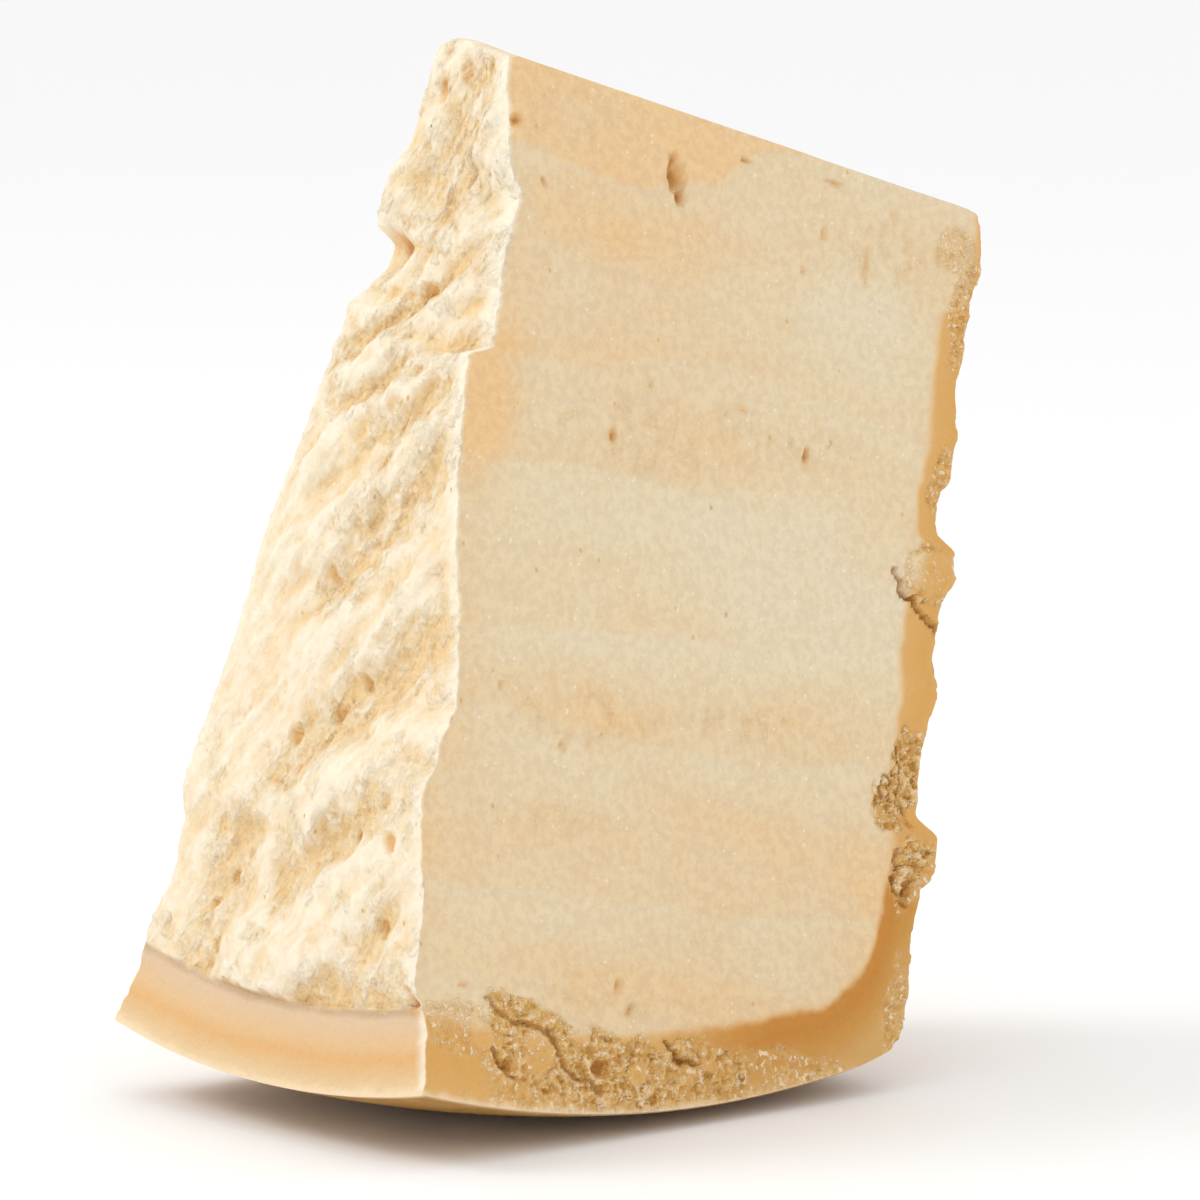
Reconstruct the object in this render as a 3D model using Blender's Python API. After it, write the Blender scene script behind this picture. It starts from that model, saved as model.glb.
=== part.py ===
"""A wedge of aged hard cheese, cut from a wheel that was first broken in half at mid-height.

The wedge stands on its curved outer rind, tip up, and leans back until it balances. It is one solid:
the rind is the same cheese, dried. Metres, +Z up, origin under the middle of the bounding box.

While it is shaped, the wedge sits in the wheel's own frame: the wheel's axis is parallel to Y and
WHEEL_RADIUS above the lowest line of the rind, the break is at y = 0 and the flat rind is at +Y.
"""

import math

import bmesh
import bpy
from mathutils import Matrix, Vector, noise

MM = 0.001
MERGE_DISTANCE = 0.01 * MM

# The wheel that the wedge comes from
WHEEL_RADIUS = 205 * MM  # at its widest ring
HALF_HEIGHT = 98.7 * MM  # from the break to the flat rind
WIDEST_AT = 7 * MM  # the widest ring, measured from the break
BARREL_DROP = 22 * MM  # how much the radius shrinks towards the flat rind
RIM_RADIUS = 5 * MM  # rounding between the outer rind and the flat rind

# The wedge that was cut out of it
WEDGE_ANGLE = math.radians(22.75)
TIP_HEIGHT_AT_BREAK = 162 * MM  # level cut across the tip, on the side of the break
TIP_HEIGHT_AT_RIND = 158.8 * MM  # and on the side of the flat rind

CORE_RADIUS = 30 * MM  # where the spun outline starts; the cut across the tip takes this part off

# How it stands
LEAN = math.radians(15)
FOOT_DEPTH = 0.8 * MM  # where the rind is pressed flat under the wedge's own weight

# How fine the mesh is
SPIN_STEPS = 16
BARREL_STEPS = 14
RIM_STEPS = 4
SLICE_UP = 4.6 * MM  # between level slices
SLICE_ALONG = 6.4 * MM  # between upright slices, along the wheel's axis
SLICE_TOLERANCE = 0.2 * MM  # a slice this close to a vertex passes through it

# The two long edges of the break, as (height above the rind, offset) pairs. The offset is how far
# the edge lies behind the break's plane; a negative one stands proud of it.
NEAR_EDGE = [
    (0, 0), (13, -0.6), (21, -3.8), (30, -3.2), (48, -4.8), (55, -2.3), (62, 0), (76, -1),
    (89, -2.9), (101, -3.4), (115, -3.2), (119, 1.9), (130, 2.3), (141, 4.4), (146, 2), (162, 0),
]
FAR_EDGE = [
    (0, 0), (13, 1.7), (20, 1), (28, 2.3), (36, 1.3), (43, -1.5), (63, -1), (82, -1.6),
    (103, -0.9), (119, 0.4), (126, 4.4), (131, 4.2), (135, -1), (142, -1.8), (162, 0),
]

# Lumps and hollows: place across (-1 far edge to 1 near edge), height, radius, depth. A positive
# depth goes into the cheese.
BREAK_LUMPS = [
    (-0.4, 150, 9, -1.5), (0.3, 134, 8, 1.6), (-0.3, 118, 12, 2.2), (0.4, 104, 14, -2.0),
    (-0.5, 92, 15, 1.8), (0.2, 80, 12, 2.4), (-0.6, 66, 14, -1.6), (0.3, 56, 15, -2.2),
    (-0.1, 40, 16, 2.0), (-0.7, 34, 13, 2.2), (0.5, 28, 14, -1.2), (0.1, 18, 10, 1.6),
]
LUMP_SPREAD = 1.6  # a lump fades out at this many times its radius
# Chips along the flat rind's long edge on the near side: height, radius, depth
RIND_CHIPS = [
    (150, 8, -1.2), (138, 3, 0.5), (108, 6, 2.2), (99, 4, -1.5), (86, 7, 1.0), (72, 4, 0.8),
    (62, 6, 1.9), (52, 6, -2.6), (35, 12, 0.8),
]
CHIP_REACH = 12 * MM  # how far the chips run across the flat rind

# Fine unevenness of the break, strongest at its middle height
GRAIN_SIZE = 11 * MM
GRAIN_DEPTH = 0.9 * MM
GRAIN_OCTAVES = 3
GRAIN_SEED = Vector((3.7, 1.3, 8.2))
GRAIN_HEIGHT = 80 * MM
GRAIN_REACH = 90 * MM

CHEESE_COLOR = (0.80, 0.60, 0.34, 1.0)
CHEESE_ROUGHNESS = 0.62


def clear_scene():
    for obj in list(bpy.data.objects):
        bpy.data.objects.remove(obj, do_unlink=True)


def smooth_between(points, at):
    """The value at a place along a list of (place, value) pairs in millimetres, eased in between."""
    place = at / MM
    if place <= points[0][0]:
        return points[0][1] * MM
    for (low, first), (high, second) in zip(points, points[1:]):
        if place <= high:
            share = (place - low) / (high - low)
            share = share * share * (3 - 2 * share)
            return (first + (second - first) * share) * MM
    return points[-1][1] * MM


def rind_radius(along):
    """Radius of the barrel-shaped outer rind at a distance from the break."""
    share = (along - WIDEST_AT) / (HALF_HEIGHT - WIDEST_AT)
    return WHEEL_RADIUS - BARREL_DROP * share * share


def outline():
    """Half of the wheel's section as (along the axis, radius) points, from the core outwards."""
    points = [(0.0, CORE_RADIUS)]
    barrel_end = HALF_HEIGHT - RIM_RADIUS
    for step in range(BARREL_STEPS + 1):
        along = barrel_end * step / BARREL_STEPS
        points.append((along, rind_radius(along)))
    rim_center = rind_radius(barrel_end) - RIM_RADIUS
    for step in range(1, RIM_STEPS + 1):
        turn = math.pi / 2 * step / RIM_STEPS
        points.append((barrel_end + RIM_RADIUS * math.sin(turn), rim_center + RIM_RADIUS * math.cos(turn)))
    points.append((HALF_HEIGHT, CORE_RADIUS))
    return points


def spin_wedge():
    """The outline, turned about the wheel's axis by the wedge's angle."""
    bm = bmesh.new()
    axis_at = Vector((0, 0, WHEEL_RADIUS))
    verts = [bm.verts.new((0, along, WHEEL_RADIUS - radius)) for along, radius in outline()]
    section = bm.faces.new(verts)
    bmesh.ops.rotate(bm, verts=verts, cent=axis_at, matrix=Matrix.Rotation(-WEDGE_ANGLE / 2, 3, "Y"))
    geometry = [section, *section.edges, *section.verts]
    bmesh.ops.spin(bm, geom=geometry, cent=axis_at, axis=(0, 1, 0), angle=WEDGE_ANGLE, steps=SPIN_STEPS)
    bmesh.ops.remove_doubles(bm, verts=bm.verts, dist=MERGE_DISTANCE)
    bmesh.ops.recalc_face_normals(bm, faces=bm.faces)
    return bm


def cut_flat(bm, point, normal):
    """Take off what lies beyond a plane, and close the cut with one face."""
    everything = [*bm.verts, *bm.edges, *bm.faces]
    cut = bmesh.ops.bisect_plane(
        bm, geom=everything, plane_co=point, plane_no=normal, dist=MERGE_DISTANCE, clear_outer=True
    )
    rim = [item for item in cut["geom_cut"] if isinstance(item, bmesh.types.BMEdge)]
    bmesh.ops.contextual_create(bm, geom=rim)


def cut_tip(bm):
    """The cut across the tip is flat, and nearly parallel to the wheel's axis."""
    fall = TIP_HEIGHT_AT_BREAK - TIP_HEIGHT_AT_RIND
    cut_flat(bm, Vector((0, 0, TIP_HEIGHT_AT_BREAK)), Vector((0, fall, HALF_HEIGHT)).normalized())


def steps_up_to(length, size):
    """Evenly spaced places between 0 and a length, about one size apart."""
    count = round(length / size)
    return [length * step / count for step in range(1, count)]


def slice_up(bm):
    """Cut all faces along level and upright planes, so that they can follow the relief."""
    planes = [(Vector((0, 0, z)), Vector((0, 0, 1))) for z in steps_up_to(TIP_HEIGHT_AT_BREAK, SLICE_UP)]
    planes += [(Vector((0, y, 0)), Vector((0, 1, 0))) for y in steps_up_to(HALF_HEIGHT, SLICE_ALONG)]
    for point, normal in planes:
        everything = [*bm.verts, *bm.edges, *bm.faces]
        bmesh.ops.bisect_plane(bm, geom=everything, plane_co=point, plane_no=normal, dist=SLICE_TOLERANCE)


def swell(distance, radius):
    """A smooth bump: 1 in the middle, 0 from its radius outwards."""
    share = min(1.0, distance / radius)
    return (1 - share * share) ** 2


def break_offset(across, height, place):
    """How far the broken face lies behind its plane."""
    share = (across + 1) / 2
    near = smooth_between(NEAR_EDGE, height)
    far = smooth_between(FAR_EDGE, height)
    offset = far + (near - far) * share
    inside = (1 - across * across) * swell(abs(height - GRAIN_HEIGHT), GRAIN_REACH)
    half_width = math.tan(WEDGE_ANGLE / 2) * (WHEEL_RADIUS - height)
    for lump_across, lump_height, radius, depth in BREAK_LUMPS:
        away = math.hypot((across - lump_across) * half_width, height - lump_height * MM)
        offset += depth * MM * swell(away, radius * MM * LUMP_SPREAD)
    grain = noise.fractal(place / GRAIN_SIZE + GRAIN_SEED, 1.0, 2.0, GRAIN_OCTAVES)
    offset += inside * GRAIN_DEPTH * grain
    return offset


def chip_offset(height, from_near_edge):
    """How far the flat rind is chipped away, or stands proud, near its long edge."""
    fade = swell(from_near_edge, CHIP_REACH)
    return fade * sum(depth * MM * swell(abs(height - at * MM), radius * MM) for at, radius, depth in RIND_CHIPS)


def shape_relief(bm):
    """Move the vertices of the broken face and of the flat rind's chipped edge."""
    for vert in bm.verts:
        x, y, z = vert.co
        from_axis = WHEEL_RADIUS - z
        across = math.atan2(x, from_axis) / (WEDGE_ANGLE / 2)
        if y < MERGE_DISTANCE:
            vert.co.y += break_offset(across, z, vert.co)
        elif y > HALF_HEIGHT - MERGE_DISTANCE:
            from_near_edge = (1 - across) * WEDGE_ANGLE / 2 * from_axis
            vert.co.y -= chip_offset(z, from_near_edge)


def lean_back(bm):
    """Tip the wedge back as it stands, and press its lowest patch flat against the table."""
    bmesh.ops.rotate(bm, verts=bm.verts, cent=(0, 0, 0), matrix=Matrix.Rotation(-LEAN, 3, "X"))
    lowest = min(vert.co.z for vert in bm.verts)
    floor = lowest + FOOT_DEPTH
    cut_flat(bm, Vector((0, 0, floor)), Vector((0, 0, -1)))
    middle = [(min(v.co[i] for v in bm.verts) + max(v.co[i] for v in bm.verts)) / 2 for i in (0, 1)]
    bmesh.ops.translate(bm, verts=bm.verts, vec=(-middle[0], -middle[1], -floor))


def cheese_material():
    material = bpy.data.materials.new("aged_cheese")
    material.use_nodes = True
    shader = material.node_tree.nodes["Principled BSDF"]
    shader.inputs["Base Color"].default_value = CHEESE_COLOR
    shader.inputs["Roughness"].default_value = CHEESE_ROUGHNESS
    shader.inputs["Metallic"].default_value = 0.0
    return material


def build():
    clear_scene()
    bm = spin_wedge()
    cut_tip(bm)
    slice_up(bm)
    shape_relief(bm)
    lean_back(bm)
    bmesh.ops.triangulate(bm, faces=bm.faces)
    bmesh.ops.recalc_face_normals(bm, faces=bm.faces)
    mesh = bpy.data.meshes.new("cheese_wedge")
    bm.to_mesh(mesh)
    bm.free()
    mesh.materials.append(cheese_material())
    mesh.shade_smooth()
    mesh.set_sharp_from_angle(angle=math.radians(40))
    bpy.context.collection.objects.link(bpy.data.objects.new("cheese_wedge", mesh))


build()
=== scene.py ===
# %% [markdown]
# # A wedge of aged hard cheese
# A wheel of hard cheese is broken in half at mid-height, and wedges are then cut out of the half.
# So this wedge has one rough, broken face, two smooth cut ones, a cut across its tip, and rind on the
# two sides that were the outside of the wheel. We load its plain solid, build the fine surface on it,
# and give it the colours of cheese that has dried from the outside in.

# %% Load the frame
import math

import bpy
import numpy as np
from mathutils import Matrix, Vector, noise


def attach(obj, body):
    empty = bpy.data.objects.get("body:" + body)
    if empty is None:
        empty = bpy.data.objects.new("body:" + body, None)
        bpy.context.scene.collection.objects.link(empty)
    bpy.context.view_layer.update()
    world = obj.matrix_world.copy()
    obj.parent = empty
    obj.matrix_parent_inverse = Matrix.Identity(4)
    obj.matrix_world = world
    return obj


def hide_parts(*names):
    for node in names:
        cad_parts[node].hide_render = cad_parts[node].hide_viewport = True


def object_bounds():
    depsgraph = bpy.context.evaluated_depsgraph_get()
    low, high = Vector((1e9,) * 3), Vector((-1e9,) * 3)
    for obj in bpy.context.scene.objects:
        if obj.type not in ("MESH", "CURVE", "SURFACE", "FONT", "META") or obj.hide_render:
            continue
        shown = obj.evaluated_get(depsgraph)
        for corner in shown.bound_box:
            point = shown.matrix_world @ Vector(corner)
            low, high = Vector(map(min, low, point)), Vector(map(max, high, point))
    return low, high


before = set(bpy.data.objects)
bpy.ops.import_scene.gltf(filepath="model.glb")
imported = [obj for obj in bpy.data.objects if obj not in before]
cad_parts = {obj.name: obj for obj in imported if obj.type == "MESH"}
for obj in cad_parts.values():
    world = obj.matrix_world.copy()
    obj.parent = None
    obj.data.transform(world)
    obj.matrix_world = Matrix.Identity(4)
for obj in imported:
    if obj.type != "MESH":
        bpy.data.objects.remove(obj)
solid_low, solid_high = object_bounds()
print("plain solid, mm:", [round(1000 * side) for side in solid_high - solid_low])

# %% [markdown]
# The wedge is easiest to describe in the frame of its wheel: x across its thickness, y along the
# wheel's axis from the break to the flat rind, and z up from the outer rind to the tip. It stands
# tipped back by its lean, so one rotation and one shift take us from the wheel's frame to the table.

# %% The wheel's measures
MM = 0.001  # places in the wheel's frame are in millimetres
WHEEL_RADIUS = 205.0  # at its widest ring
HALF_HEIGHT = 98.7  # from the break to the flat rind
WIDEST_AT = 7.0  # the widest ring, measured from the break
BARREL_DROP = 22.0  # how much the radius shrinks towards the flat rind
RIM_RADIUS = 5.0  # rounding between the outer rind and the flat one
WEDGE_ANGLE = math.radians(22.75)
TIP_HEIGHT = 162.0  # height of the cut across the tip, at the break
TIP_FALL = 3.2  # how much lower that cut is at the flat rind
LEAN = math.radians(15)

lean_turn = Matrix.Rotation(-LEAN, 3, "X")
tip_corner = lean_turn @ Vector((0, 0, TIP_HEIGHT * MM))
rind_corner = lean_turn @ Vector((0, HALF_HEIGHT * MM, (TIP_HEIGHT - TIP_FALL) * MM))
table_shift = Vector((0, solid_high[1] - rind_corner.y, solid_high[2] - tip_corner.z))
print("shift to the table, mm:", [round(1000 * c, 1) for c in table_shift])


def rind_radius(y):
    """Radius of the barrel-shaped outer rind, at a distance from the break."""
    share = (y - WIDEST_AT) / (HALF_HEIGHT - WIDEST_AT)
    return WHEEL_RADIUS - BARREL_DROP * share * share


# %% [markdown]
# Before the object itself, the stage: a pale floor, a bright even sky, one large soft lamp on the side
# of the break, so that its light grazes the lumps, and a weaker one for the cut face. The camera looks
# slightly down, from far away and with a long lens, which keeps the edges nearly parallel.

# %% Stage, lights and camera
VIEW_AZIMUTH = math.radians(51.3)
VIEW_ELEVATION = math.radians(7.3)
VIEW_DISTANCE = 1.2
LENS = 227.9
AIM = Vector((-3.99, 49.96, 84.28))  # in the wheel's frame
LAMP_COLOR = (1.0, 0.98, 0.95)
SKY_COLOR = (1.0, 1.0, 1.0, 1.0)
FLOOR_RADIUS = 9.0
FLOOR_COLOR = (0.93, 0.93, 0.93, 1.0)
FLOOR_ROUGHNESS = 0.75


def from_side(azimuth, elevation):
    """Direction of a place that is seen at an azimuth and an elevation from the wedge."""
    level = math.cos(elevation)
    return Vector((math.sin(azimuth) * level, -math.cos(azimuth) * level, math.sin(elevation)))


def to_table(point):
    """A point of the wheel's frame, in millimetres, as a place above the table, in metres."""
    return lean_turn @ (point * MM) + table_shift


def add_camera():
    data = bpy.data.cameras.new("camera")
    data.lens = LENS
    camera = bpy.data.objects.new("camera", data)
    bpy.context.collection.objects.link(camera)
    away = from_side(VIEW_AZIMUTH, VIEW_ELEVATION)
    camera.location = to_table(AIM) + away * VIEW_DISTANCE
    camera.rotation_euler = away.to_track_quat("Z", "Y").to_euler()
    bpy.context.scene.camera = camera


def add_lamp(name, azimuth, elevation, distance, size, power):
    """A round soft lamp that shines at the wedge from a side, given in degrees."""
    data = bpy.data.lights.new(name, "AREA")
    data.shape = "DISK"
    data.size = size
    data.energy = power
    data.color = LAMP_COLOR
    lamp = bpy.data.objects.new(name, data)
    bpy.context.collection.objects.link(lamp)
    away = from_side(math.radians(azimuth), math.radians(elevation))
    lamp.location = to_table(AIM) + away * distance
    lamp.rotation_euler = away.to_track_quat("Z", "Y").to_euler()


def add_sky(strength):
    world = bpy.data.worlds.new("studio")
    world.use_nodes = True
    background = world.node_tree.nodes["Background"]
    background.inputs["Color"].default_value = SKY_COLOR
    background.inputs["Strength"].default_value = strength
    bpy.context.scene.world = world


def add_floor():
    bpy.ops.mesh.primitive_circle_add(vertices=96, radius=FLOOR_RADIUS, fill_type="NGON", location=(0, 0, 0))
    floor = bpy.context.object
    floor.name = "floor"
    paint = bpy.data.materials.new("pale_floor")
    paint.use_nodes = True
    shader = paint.node_tree.nodes["Principled BSDF"]
    shader.inputs["Base Color"].default_value = FLOOR_COLOR
    shader.inputs["Roughness"].default_value = FLOOR_ROUGHNESS
    floor.data.materials.append(paint)


bpy.ops.object.select_all(action="DESELECT")
bpy.context.scene.view_settings.view_transform = "Standard"
add_camera()
add_sky(1.0)
add_lamp("key", azimuth=-38, elevation=42, distance=1.4, size=0.7, power=5.3)
add_lamp("fill", azimuth=95, elevation=35, distance=1.8, size=0.9, power=1.25)
add_floor()
print("camera at, m:", [round(c, 2) for c in bpy.context.scene.camera.location])

# %% [markdown]
# The plain wedge is a slice of something turned, so it is made by spinning: a flat grid is laid over
# the wheel's half section, and spun about the wheel's axis by the wedge's angle. The grid keeps the
# faces small and square everywhere, which the fine relief needs later.

# %% Lay a grid over the section
SECTION_COLUMNS = 66
SECTION_ROWS = 132
CORNER = 14.0  # how far from the rim the grid is pulled in
TINY = 1e-9


def tip_height(y):
    """Height of the cut across the tip, at a distance from the break."""
    return TIP_HEIGHT - TIP_FALL * y / HALF_HEIGHT


def rounded_corner(y, z):
    """Pull the grid's square corner between the outer and the flat rind in, onto its rounding."""
    middle_y = HALF_HEIGHT - CORNER
    floor_z = WHEEL_RADIUS - rind_radius(y)
    a = np.clip((y - middle_y) / CORNER, 0, 1)
    b = np.clip((floor_z + CORNER - z) / CORNER, 0, 1)
    share = RIM_RADIUS / CORNER
    past_y = np.maximum(a - 1 + share, 0)
    past_z = np.maximum(b - 1 + share, 0)
    pull = np.maximum(0, np.hypot(past_y, past_z) - share)
    length = np.hypot(np.maximum(past_y, TINY), np.maximum(past_z, TINY))
    return y - CORNER * pull * past_y / length, z + CORNER * pull * past_z / length


bpy.ops.mesh.primitive_grid_add(x_subdivisions=SECTION_COLUMNS, y_subdivisions=SECTION_ROWS, size=1)
wedge = bpy.context.object
wedge.name = "wedge_of_cheese"
mesh = wedge.data


def read_points(mesh):
    points = np.empty(3 * len(mesh.vertices))
    mesh.vertices.foreach_get("co", points)
    return points.reshape(-1, 3)


def write_points(mesh, points):
    mesh.vertices.foreach_set("co", points.ravel())
    mesh.update()


grid = read_points(mesh)
y = (grid[:, 0] + 0.5) * HALF_HEIGHT
low = WHEEL_RADIUS - rind_radius(y)
z = low + (grid[:, 1] + 0.5) * (tip_height(y) - low)
y, z = rounded_corner(y, z)
half_angle = WEDGE_ANGLE / 2
from_axis = WHEEL_RADIUS - z
section_x = -from_axis * math.sin(half_angle)
section_z = WHEEL_RADIUS - from_axis * math.cos(half_angle)
write_points(mesh, np.column_stack([section_x, y, section_z]))
print("section:", len(mesh.polygons), "faces")

# %% [markdown]
# The section now lies on the far cut. Spinning it to the near cut keeps a copy at each end, so the shell
# is closed. Any points that came out twice are merged, and the normals are turned outwards, because a
# spin can leave a shape inside out.

# %% Spin the section into the wedge
SPIN_STEPS = 60
MERGE_DISTANCE = 0.01

bpy.ops.object.mode_set(mode="EDIT")
bpy.ops.mesh.select_all(action="SELECT")
bpy.ops.mesh.spin(steps=SPIN_STEPS, angle=WEDGE_ANGLE, center=(0, 0, WHEEL_RADIUS), axis=(0, 1, 0))
bpy.ops.mesh.select_all(action="SELECT")
bpy.ops.mesh.remove_doubles(threshold=MERGE_DISTANCE)
bpy.ops.mesh.normals_make_consistent(inside=False)
bpy.ops.object.mode_set(mode="OBJECT")
spun = read_points(mesh)
print("spun", len(mesh.polygons), "faces; corners", spun.min(0).round(1), spun.max(0).round(1))

# %% [markdown]
# The spin leaves the tip as an arc round the wheel's axis, but a knife cuts it flat. Every point is
# slid along its own radius, most at the tip and not at all at the rind, until the tip is level.

# %% Level the tip
LEVEL_POWER = 4  # how quickly the sliding dies out below the tip


def measures(points):
    """Across (-1 far cut, 1 near cut), along the axis, and radius, for every point."""
    across = np.arctan2(points[:, 0], WHEEL_RADIUS - points[:, 2]) / half_angle
    return across, points[:, 1], np.hypot(points[:, 0], WHEEL_RADIUS - points[:, 2])


def place(across, along, radius):
    """The points that have these measures."""
    turn = across * half_angle
    return np.column_stack([radius * np.sin(turn), along, WHEEL_RADIUS - radius * np.cos(turn)])


across, along, radius = measures(spun)
tip_radius = WHEEL_RADIUS - tip_height(along)
from_rind = np.clip((rind_radius(along) - radius) / (rind_radius(along) - tip_radius), 0, 1)
radius += tip_radius * (1 / np.cos(across * half_angle) - 1) * from_rind ** LEVEL_POWER
write_points(mesh, place(across, along, radius))
print("tip levelled to", round(float(read_points(mesh)[:, 2].max()), 1), "mm")

# %% [markdown]
# Fine relief needs small faces, but only where it shows. The broken face and the near cut face are
# subdivided once. Near the rind the cut face is dry and crumbles, and the places where it crumbles most
# are subdivided again.

# %% Subdivide the break and the near cut
# Crumbly places: place along the axis, height, reach along the axis, reach in height, strength.
CRUMBS = [
    (33, 9, 27, 8.5, 1), (20, 14, 10, 5.5, 1), (55, 12, 14, 6, 0.8), (74, 15, 18, 3.5, 0.4),
    (94, 65, 6.5, 9, 1), (89.5, 58.5, 5, 5.5, 1), (95, 49, 5.5, 8, 1), (94, 97, 7, 7, 0.6),
    (96.5, 112, 3, 8, 0.6), (97, 141, 4, 15, 0.6), (94, 150, 6, 6, 0.4),
    (48, 5, 52, 11, 0.55), (82, 10, 20, 10, 0.5), (8, 11, 12, 6, 0.4), (96, 24, 4, 16, 0.5),
]
STRONG_CRUMBS = 0.55  # a place is subdivided again above this strength
WITHIN_CRUMBS = 0.14  # and where its bump is higher than this
FACING = 0.9  # a face whose normal points this much along an axis belongs to that side


def swell(distance, reach):
    """A smooth bump: 1 in the middle, 0 from its reach outwards."""
    return (1 - np.clip(distance / reach, 0, 1) ** 2) ** 2


def patch(y, z, center_y, center_z, reach_y, reach_z):
    """A bump with its own reach along each direction."""
    return swell(np.hypot((y - center_y) / reach_y, (z - center_z) / reach_z), 1.0)


def subdivide_faces(obj, chosen):
    """Subdivide the faces of a mesh for which chosen(center, normal) is true."""
    bpy.ops.object.mode_set(mode="EDIT")
    bpy.ops.mesh.select_all(action="DESELECT")
    bpy.ops.object.mode_set(mode="OBJECT")
    for face in obj.data.polygons:
        face.select = bool(chosen(face.center, face.normal))
    bpy.ops.object.mode_set(mode="EDIT")
    bpy.ops.mesh.select_mode(type="FACE")
    bpy.ops.mesh.subdivide(number_cuts=1)
    bpy.ops.object.mode_set(mode="OBJECT")


def on_break_or_near_cut(center, normal):
    return normal.y < -FACING or normal.x > FACING


def where_it_crumbles(center, normal):
    height = WHEEL_RADIUS - math.hypot(center.x, WHEEL_RADIUS - center.z)
    strong = (spot[:4] for spot in CRUMBS if spot[4] > STRONG_CRUMBS)
    return normal.x > FACING and any(patch(center.y, height, *spot) > WITHIN_CRUMBS for spot in strong)


subdivide_faces(wedge, on_break_or_near_cut)
subdivide_faces(wedge, where_it_crumbles)
print("fine mesh:", len(mesh.polygons), "faces")

# %% [markdown]
# Hard cheese breaks along its curd grains: smooth shell-like lobes run down to the left, with crumbly
# seams between them. The lobes and seams are listed as straight strokes, bent by noise so that
# no edge is straight, and the long edges of the break follow two listed lines.

# %% Lines and strokes of the break
# The long edges, as (height, offset) pairs. The offset is how far the edge lies behind the break's
# plane; a negative one stands proud of it.
NEAR_EDGE = [
    (0, 0), (13, -0.6), (21, -3.8), (30, -3.2), (48, -4.8), (55, -2.3), (62, 0), (76, -1),
    (89, -2.9), (101, -3.4), (114.5, -3.2), (117, 1.9), (130, 2.3), (141, 4.4), (146, 2), (162, 0),
]
FAR_EDGE = [
    (0, 0), (13, 1.7), (20, 1), (28, 2.3), (36, 1.3), (43, -1.5), (63, -1), (82, -1.6),
    (103, -0.9), (118, -0.5), (120.4, -0.9), (124.3, 1.9), (128, 4.2), (131, 4.3), (133.6, -0.2),
    (136, -1.2), (142, -1), (147, 0.8), (152, 0.4), (162, 0),
]
# Strokes over the break: across and height of one end, of the other, half width, depth. A smooth lobe
# has a negative depth, a crumbly seam a positive one.
LOBES = [
    (-0.17, 17, 0.85, 43, 9, -2.2), (0.01, 44, 0.78, 56, 7, -2.0), (-0.23, 65, 0.56, 79, 8, -2.0),
    (0.28, 29, 0.84, 36, 6, -1.0), (-0.89, 42, -0.95, 79, 14, -1.0), (-0.95, 85, -0.9, 108, 9, -1.0),
    (-0.81, 105, 0.94, 130, 3.5, -1.6), (-0.74, 94, 0.95, 119, 3.5, -1.6), (-0.67, 80, 0.79, 103, 4, -1.6),
    (-0.35, 128, -0.04, 130, 4.5, -1.3), (0.2, 140, 0.5, 150, 5, -0.8), (-0.6, 150, -0.5, 158, 4, -0.8),
]
SEAMS = [
    (-0.21, 48, 0.81, 72, 6, 2.0), (-0.09, 30, 0.82, 49, 5, 2.0), (-0.16, 77, 0.77, 98, 6, 1.8),
    (-0.77, 114, 0.16, 124, 3, 1.8), (-0.69, 105, 0.81, 117, 2.8, 1.4), (-0.25, 100, 0.7, 109, 2.6, 1.2),
    (-0.6, 19, -0.55, 36, 7, 1.6), (0.2, 16, 0.9, 19, 3.5, 1.6), (0.63, 24, 0.75, 30, 4, 1.2),
    (0.42, 128, 0.8, 131, 4, 1.3), (-0.2, 138, 0.3, 156, 5, 0.8), (-0.5, 142, 0.0, 136, 4, 1.0),
]
# Small round pits: across, height, half width, depth.
BREAK_PITS = [
    (-0.53, 155, 1.2, 1.2), (-0.03, 157, 1.1, 0.8), (-0.29, 79, 0.9, 1.2), (0.02, 58, 1.0, 1.3),
    (0.21, 63, 0.9, 1.2), (-0.26, 53, 1.0, 1.4), (-0.15, 48, 0.8, 1.2), (0.46, 40, 0.9, 1.3),
    (0.78, 40, 1.1, 1.5), (-0.55, 30, 1.1, 1.2), (-0.63, 25, 0.9, 1.2), (-0.51, 19, 0.9, 1.2),
    (0.71, 27, 1.1, 1.4), (-0.72, 131, 1.6, 1.6), (-0.09, 124, 1.3, 1.8), (0.94, 17, 1.3, 1.4),
]
print(len(LOBES), "lobes,", len(SEAMS), "seams and", len(BREAK_PITS), "pits on the break")


def eased(points, at):
    """Values along a list of (place, value) pairs, eased in between."""
    places, values = np.array(points, dtype=float).T
    index = np.clip(np.searchsorted(places, at) - 1, 0, len(places) - 2)
    share = np.clip((at - places[index]) / (places[index + 1] - places[index]), 0, 1)
    share = share * share * (3 - 2 * share)
    return values[index] + (values[index + 1] - values[index]) * share


def rise(value, low, high):
    """A smooth step: 0 up to low, 1 from high."""
    share = np.clip((value - low) / (high - low), 0, 1)
    return share * share * (3 - 2 * share)


def half_width(z):
    """Half of the wedge's thickness at a height."""
    return math.tan(half_angle) * (WHEEL_RADIUS - z)


def stroke(x, z, line, spread, edge):
    """How strongly each point lies under a stroke: it falls from 1 to 0 over the outer share, edge."""
    across_1, z_1, across_2, z_2, reach = line[:5]
    start = np.array([across_1 * half_width(z_1), z_1])
    run = np.array([across_2 * half_width(z_2), z_2]) - start
    away = np.column_stack([x, z]) - start
    share = np.clip(away @ run / (run @ run), 0, 1)
    return 1 - rise(np.hypot(*(away - share[:, None] * run).T) / (reach * spread), 1 - edge, 1.0)


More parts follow.
